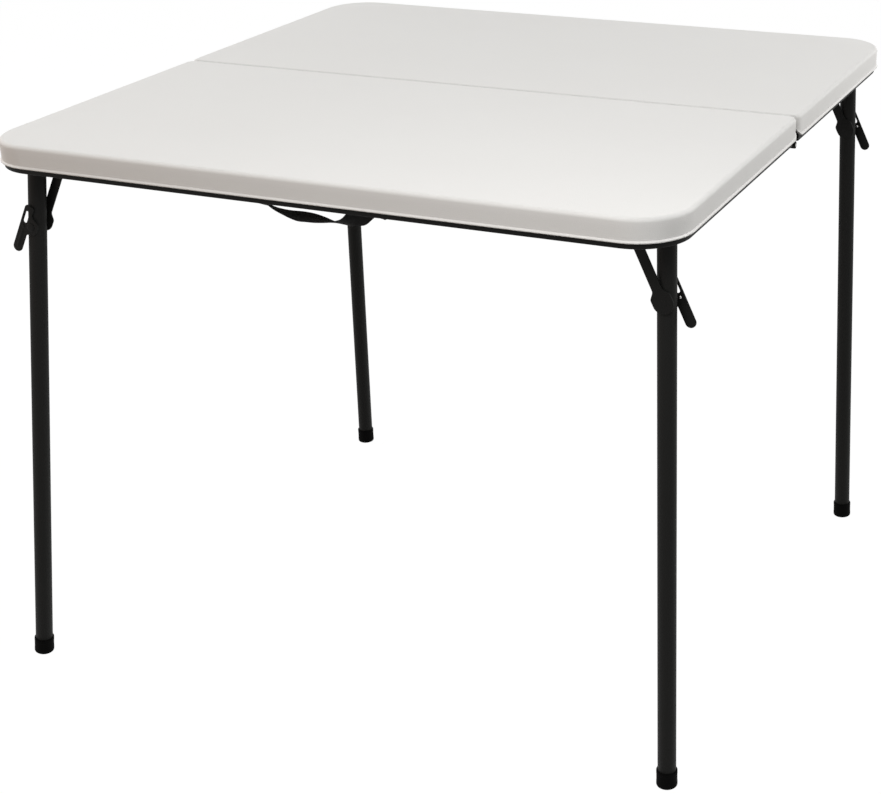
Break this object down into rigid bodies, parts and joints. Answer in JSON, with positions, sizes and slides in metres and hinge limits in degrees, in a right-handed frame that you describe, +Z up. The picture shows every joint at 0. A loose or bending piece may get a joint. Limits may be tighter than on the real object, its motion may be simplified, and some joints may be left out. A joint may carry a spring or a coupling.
{
  "type": "folding card table",
  "caption": "Square card table with a moulded top in two hinged halves on steel rails, with folding round legs, track-guided brace arms and a carry strap.",
  "frame": {"origin": "on the floor, under the middle of the box round the standing table", "axes": "+X along the seam towards the side with the two upright near and far legs, +Y from the near half to the far half, +Z up"},
  "size_m": [0.9148, 0.864, 0.716],
  "materials": {
    "panel_plastic": "warm white moulded polyethylene with a fine pebbled top",
    "frame_enamel": "black powder coat, satin",
    "leg_enamel": "charcoal powder coat, semi-matte",
    "foot_rubber": "moulded rubber",
    "webbing": "woven webbing",
    "rivet_steel": "plain steel"
  },
  "bodies": {
    "near_half": {"near_panel": "panel_plastic", "near_rail": "frame_enamel", "near_cross_rail": "frame_enamel", "near_hinge_leaves": "frame_enamel", "carry_strap": "webbing", "strap_rivets": "rivet_steel", "near_left_bracket": "frame_enamel", "near_left_pivot_pin": "frame_enamel", "near_left_track": "frame_enamel", "near_right_bracket": "frame_enamel", "near_right_pivot_pin": "frame_enamel", "near_right_track": "frame_enamel"},
    "seam_pins": {"seam_pins": "rivet_steel"},
    "far_half": {"far_panel": "panel_plastic", "far_rail": "frame_enamel", "far_cross_rail": "frame_enamel", "far_hinge_leaves": "frame_enamel", "far_right_bracket": "frame_enamel", "far_right_pivot_pin": "frame_enamel", "far_right_track": "frame_enamel", "far_left_bracket": "frame_enamel", "far_left_pivot_pin": "frame_enamel", "far_left_track": "frame_enamel"},
    "near_left_leg": {"near_left_leg_tube": "leg_enamel", "near_left_collar": "frame_enamel", "near_left_foot_cap": "foot_rubber"},
    "near_left_brace": {"near_left_brace_arm": "frame_enamel", "near_left_slide_pin": "rivet_steel", "near_left_lever": "frame_enamel", "near_left_brace_shaft": "frame_enamel"},
    "near_right_leg": {"near_right_leg_tube": "leg_enamel", "near_right_collar": "frame_enamel", "near_right_foot_cap": "foot_rubber"},
    "near_right_brace": {"near_right_brace_arm": "frame_enamel", "near_right_slide_pin": "rivet_steel", "near_right_lever": "frame_enamel", "near_right_brace_shaft": "frame_enamel"},
    "far_right_leg": {"far_right_leg_tube": "leg_enamel", "far_right_collar": "frame_enamel", "far_right_foot_cap": "foot_rubber"},
    "far_right_brace": {"far_right_brace_arm": "frame_enamel", "far_right_slide_pin": "rivet_steel", "far_right_lever": "frame_enamel", "far_right_brace_shaft": "frame_enamel"},
    "far_left_leg": {"far_left_leg_tube": "leg_enamel", "far_left_collar": "frame_enamel", "far_left_foot_cap": "foot_rubber"},
    "far_left_brace": {"far_left_brace_arm": "frame_enamel", "far_left_slide_pin": "rivet_steel", "far_left_lever": "frame_enamel", "far_left_brace_shaft": "frame_enamel"}
  },
  "joints": [
    {"name": "near_fold", "type": "hinge", "parent": "near_half", "child": "seam_pins", "pos_m": [0.02543, 0, 0.68], "axis": [-1, 0, 0], "range_deg": [0, 130]},
    {"name": "far_fold", "type": "hinge", "parent": "seam_pins", "child": "far_half", "pos_m": [0.02543, 0, 0.68], "axis": [-1, 0, 0], "range_deg": [0, 50]},
    {"name": "near_left_leg_fold", "type": "hinge", "parent": "near_half", "child": "near_left_leg", "pos_m": [-0.36657, -0.3755, 0.694], "axis": [0, -1, 0], "range_deg": [0, 96.5]},
    {"name": "near_left_brace_turn", "type": "hinge", "parent": "near_left_leg", "child": "near_left_brace", "pos_m": [-0.37721, -0.3755, 0.6006], "axis": [0, 1, 0], "range_deg": [0, 158.66]},
    {"name": "near_right_leg_fold", "type": "hinge", "parent": "near_half", "child": "near_right_leg", "pos_m": [0.41743, -0.3455, 0.694], "axis": [0, 1, 0], "range_deg": [0, 90]},
    {"name": "near_right_brace_turn", "type": "hinge", "parent": "near_right_leg", "child": "near_right_brace", "pos_m": [0.41743, -0.3455, 0.6], "axis": [0, -1, 0], "range_deg": [0, 152.92]},
    {"name": "far_right_leg_fold", "type": "hinge", "parent": "far_half", "child": "far_right_leg", "pos_m": [0.41743, 0.3755, 0.694], "axis": [0, 1, 0], "range_deg": [0, 91]},
    {"name": "far_right_brace_turn", "type": "hinge", "parent": "far_right_leg", "child": "far_right_brace", "pos_m": [0.41907, 0.3755, 0.60001], "axis": [0, -1, 0], "range_deg": [0, 153.9]},
    {"name": "far_left_leg_fold", "type": "hinge", "parent": "far_half", "child": "far_left_leg", "pos_m": [-0.36657, 0.3455, 0.694], "axis": [0, -1, 0], "range_deg": [0, 90]},
    {"name": "far_left_brace_turn", "type": "hinge", "parent": "far_left_leg", "child": "far_left_brace", "pos_m": [-0.36657, 0.3455, 0.6], "axis": [0, 1, 0], "range_deg": [0, 152.92]}
  ],
  "couplings": [
    {"joint": "near_left_leg_fold", "follows": "near_fold", "ratio": 0.74231},
    {"joint": "near_left_brace_turn", "follows": "near_fold", "ratio": 1.2205},
    {"joint": "near_right_leg_fold", "follows": "near_fold", "ratio": 0.69231},
    {"joint": "near_right_brace_turn", "follows": "near_fold", "ratio": 1.1763},
    {"joint": "far_right_leg_fold", "follows": "near_fold", "ratio": 0.7},
    {"joint": "far_right_brace_turn", "follows": "near_fold", "ratio": 1.1839},
    {"joint": "far_left_leg_fold", "follows": "near_fold", "ratio": 0.69231},
    {"joint": "far_left_brace_turn", "follows": "near_fold", "ratio": 1.1763}
  ]
}
